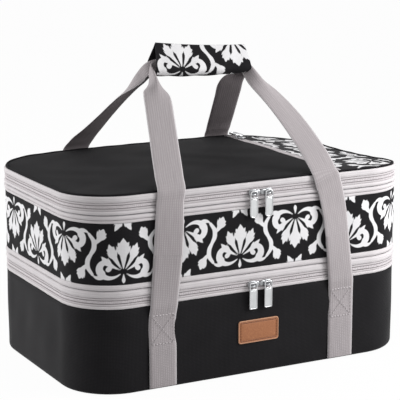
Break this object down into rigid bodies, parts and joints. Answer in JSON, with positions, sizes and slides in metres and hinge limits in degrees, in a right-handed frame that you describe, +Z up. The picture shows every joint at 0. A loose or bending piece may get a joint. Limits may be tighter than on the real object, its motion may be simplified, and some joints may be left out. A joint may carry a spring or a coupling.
{
  "type": "casserole carrier",
  "caption": "Insulated two-deck casserole carrier with zipped lid, collapsing printed middle wall, webbing straps and a padded handle wrap.",
  "frame": {"origin": "centre of the flat bottom, on the floor", "axes": "+X along the long front, to the right; front face at -Y; +Z up"},
  "size_m": [0.4218, 0.2724, 0.3556],
  "materials": {
    "black_fabric": "matte woven polyester",
    "trim_fabric": "matte twill",
    "zip_tape": "woven tape with nylon coil",
    "webbing": "ribbed webbing",
    "print_fabric": "black cloth with a white damask",
    "lining": "satin foil lining",
    "foam": "closed-cell foam",
    "board": "stiff board",
    "leather": "tan, bare",
    "zip_metal": "nickel"
  },
  "bodies": {
    "base": {"base_shell": "black_fabric", "bottom_board": "board", "base_foam": "foam", "base_liner": "lining", "base_trim": "trim_fabric", "lower_zip_tape_bottom": "zip_tape", "lower_hinge_strip": "trim_fabric", "leather_patch": "leather", "front_left_tail": "webbing", "front_right_tail": "webbing", "back_left_tail": "webbing", "back_right_tail": "webbing"},
    "deck": {"lower_zip_tape_top": "zip_tape", "deck_collar": "trim_fabric", "lower_welt": "trim_fabric", "divider_liner": "lining", "divider_pad": "foam", "gusset_print": "print_fabric", "gusset_foam": "foam", "gusset_liner": "lining"},
    "rim": {"print_binding": "trim_fabric", "upper_welt": "trim_fabric", "rim_collar": "trim_fabric", "rim_foam": "foam", "upper_zip_tape_bottom": "zip_tape", "upper_hinge_strip": "trim_fabric"},
    "lid": {"upper_zip_tape_top": "zip_tape", "lid_side_strip": "trim_fabric", "lid_piping": "black_fabric", "lid_liner": "lining", "lid_foam": "foam", "lid_top_panel": "black_fabric", "pocket_panel": "print_fabric", "pocket_zip_tape": "zip_tape", "pocket_backing": "black_fabric"},
    "lower_left_zip": {"lower_left_slider": "zip_metal"},
    "lower_left_tab": {"lower_left_pull": "zip_metal"},
    "lower_right_zip": {"lower_right_slider": "zip_metal"},
    "lower_right_tab": {"lower_right_pull": "zip_metal"},
    "upper_left_zip": {"upper_left_slider": "zip_metal"},
    "upper_left_tab": {"upper_left_pull": "zip_metal"},
    "upper_right_zip": {"upper_right_slider": "zip_metal"},
    "upper_right_tab": {"upper_right_pull": "zip_metal"},
    "pocket_zip": {"pocket_slider": "zip_metal"},
    "pocket_tab": {"pocket_pull": "zip_metal"},
    "front_straps": {"front_left_leg": "webbing", "front_right_leg": "webbing"},
    "front_handle": {"front_left_upper": "webbing", "front_right_upper": "webbing", "front_grip": "webbing"},
    "back_straps": {"back_left_leg": "webbing", "back_right_leg": "webbing"},
    "back_handle": {"back_left_upper": "webbing", "back_right_upper": "webbing", "back_grip": "webbing", "handle_wrap": "print_fabric", "loop_strip": "black_fabric"},
    "flap": {"wrap_flap": "print_fabric", "hook_strip": "black_fabric"}
  },
  "joints": [
    {"name": "deck_hinge", "type": "hinge", "parent": "base", "child": "deck", "pos_m": [0, 0.131, 0.10365], "axis": [-1, 0, 0], "range_deg": [0, 60], "deforming": ["lower_hinge_strip"]},
    {"name": "collapse", "type": "slide", "parent": "deck", "child": "rim", "axis": [0, 0, 1], "range_m": [-0.065, 0], "deforming": ["gusset_print", "gusset_foam", "gusset_liner"]},
    {"name": "lid_hinge", "type": "hinge", "parent": "rim", "child": "lid", "pos_m": [0, 0.1316, 0.2214], "axis": [-1, 0, 0], "range_deg": [0, 95]},
    {"name": "front_swing", "type": "hinge", "parent": "base", "child": "front_straps", "pos_m": [0, -0.1347, 0.08515], "axis": [1, 0, 0], "range_deg": [0, 45]},
    {"name": "front_fold", "type": "hinge", "parent": "front_straps", "child": "front_handle", "pos_m": [0, -0.1347, 0.22155], "axis": [1, 0, 0], "range_deg": [0, 125], "deforming": ["front_left_upper", "front_right_upper"]},
    {"name": "back_swing", "type": "hinge", "parent": "base", "child": "back_straps", "pos_m": [0, 0.1347, 0.08515], "axis": [-1, 0, 0], "range_deg": [0, 66]},
    {"name": "back_fold", "type": "hinge", "parent": "back_straps", "child": "back_handle", "pos_m": [0, 0.1347, 0.22155], "axis": [-1, 0, 0], "range_deg": [0, 110], "deforming": ["back_left_upper", "back_right_upper"]},
    {"name": "wrap_flap_hinge", "type": "hinge", "parent": "back_handle", "child": "flap", "pos_m": [0.0015, 0, 0.3556], "axis": [-1, 0, 0], "range_deg": [0, 150], "deforming": ["wrap_flap"]},
    {"name": "lower_left_slide", "type": "slide", "parent": "base", "child": "lower_left_zip", "axis": [-1, 0, 0], "range_m": [0, 0.07]},
    {"name": "lower_left_swing", "type": "hinge", "parent": "lower_left_zip", "child": "lower_left_tab", "pos_m": [-0.0061, -0.1358, 0.10175], "axis": [-1, 0, 0], "range_deg": [0, 160]},
    {"name": "lower_right_slide", "type": "slide", "parent": "base", "child": "lower_right_zip", "axis": [1, 0, 0], "range_m": [0, 0.058]},
    {"name": "lower_right_swing", "type": "hinge", "parent": "lower_right_zip", "child": "lower_right_tab", "pos_m": [0.0129, -0.1358, 0.10175], "axis": [-1, 0, 0], "range_deg": [0, 160]},
    {"name": "upper_left_slide", "type": "slide", "parent": "rim", "child": "upper_left_zip", "axis": [-1, 0, 0], "range_m": [0, 0.07]},
    {"name": "upper_left_swing", "type": "hinge", "parent": "upper_left_zip", "child": "upper_left_tab", "pos_m": [-0.0061, -0.1358, 0.20515], "axis": [-1, 0, 0], "range_deg": [0, 160]},
    {"name": "upper_right_slide", "type": "slide", "parent": "rim", "child": "upper_right_zip", "axis": [1, 0, 0], "range_m": [0, 0.05]},
    {"name": "upper_right_swing", "type": "hinge", "parent": "upper_right_zip", "child": "upper_right_tab", "pos_m": [0.0129, -0.1358, 0.20515], "axis": [-1, 0, 0], "range_deg": [0, 160]},
    {"name": "pocket_slide", "type": "slide", "parent": "lid", "child": "pocket_zip", "axis": [0, -1, 0], "range_m": [0, 0.195]},
    {"name": "pocket_swing", "type": "hinge", "parent": "pocket_zip", "child": "pocket_tab", "pos_m": [0.107, 0.098, 0.2254], "axis": [1, 0, 0], "range_deg": [0, 165]}
  ],
  "couplings": [
    {"joint": "front_swing", "follows": "deck_hinge", "ratio": 0.75},
    {"joint": "back_swing", "follows": "deck_hinge", "ratio": 1.1},
    {"joint": "front_fold", "follows": "lid_hinge", "ratio": 1.3157},
    {"joint": "back_fold", "follows": "lid_hinge", "ratio": 1.1578}
  ]
}
